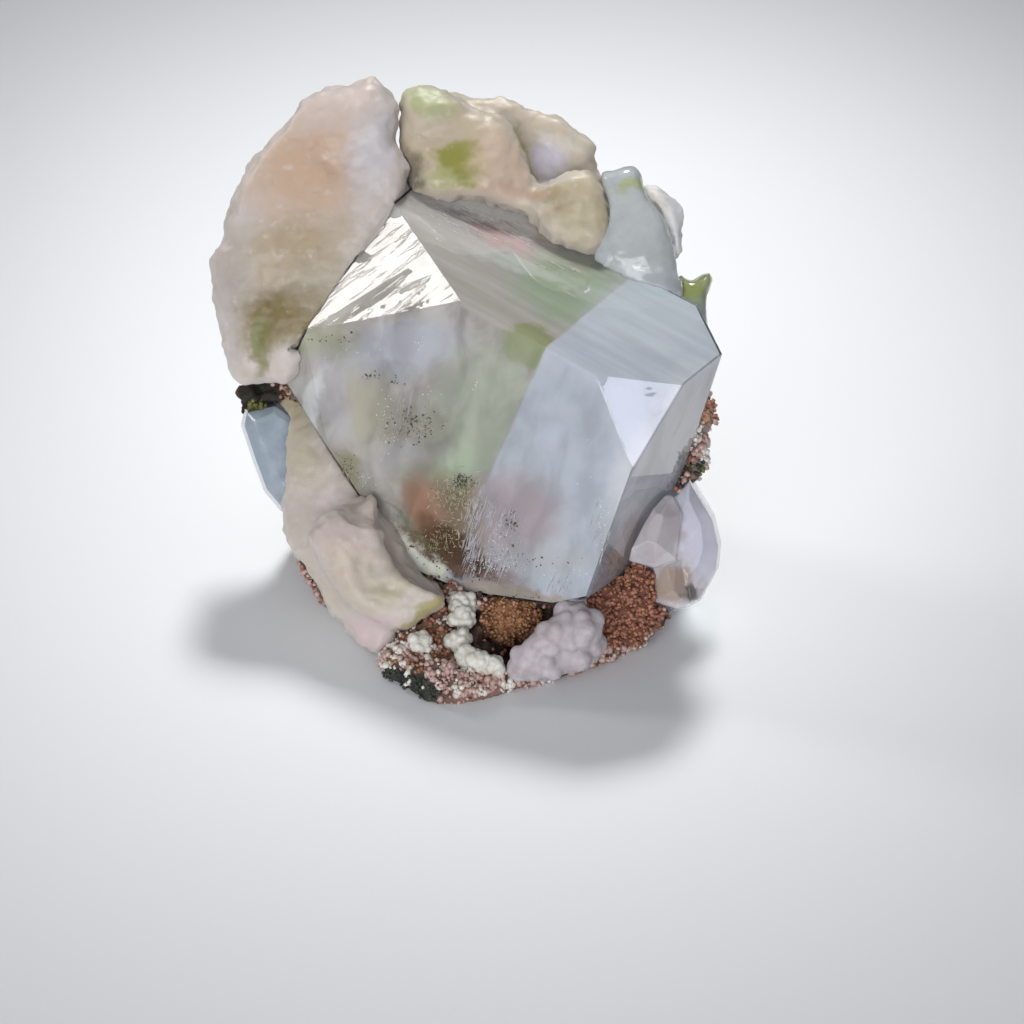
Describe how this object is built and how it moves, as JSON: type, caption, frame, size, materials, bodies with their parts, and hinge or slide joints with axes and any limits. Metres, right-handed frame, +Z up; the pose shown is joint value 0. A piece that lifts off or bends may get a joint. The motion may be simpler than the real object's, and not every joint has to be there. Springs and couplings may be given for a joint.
{
  "type": "apophyllite cluster",
  "caption": "Mineral specimen: a large clear block-shaped apophyllite crystal with stilbite blades and small crystals on a rough piece of brown matrix.",
  "frame": {"origin": "middle of the flat underside's plane, at the centre of the box around the cluster", "axes": "+Z up from the resting face; -Y towards the side on show; +X to the right seen from there"},
  "size_m": [0.0522, 0.0481, 0.0502],
  "materials": {
    "clear_apophyllite": "clear crystal, faint grey-green tint",
    "grey_apophyllite": "cloudy grey crystal",
    "green_apophyllite": "cloudy yellow-green crystal",
    "peach_stilbite": "pearly, slightly translucent",
    "cream_stilbite": "pearly, slightly translucent",
    "white_crust": "fine-grained, matt",
    "matrix": "rough, granular"
  },
  "bodies": {
    "root": {"apophyllite_main": "clear_apophyllite", "apophyllite_right": "clear_apophyllite", "apophyllite_left": "grey_apophyllite", "apophyllite_back": "grey_apophyllite", "apophyllite_knob": "green_apophyllite", "stilbite_left": "peach_stilbite", "stilbite_top": "peach_stilbite", "stilbite_right": "cream_stilbite", "stilbite_lower": "cream_stilbite", "white_mass": "white_crust", "white_cluster_1": "white_crust", "white_cluster_2": "white_crust", "white_cluster_3": "white_crust", "white_cluster_4": "white_crust", "matrix": "matrix"}
  },
  "joints": []
}
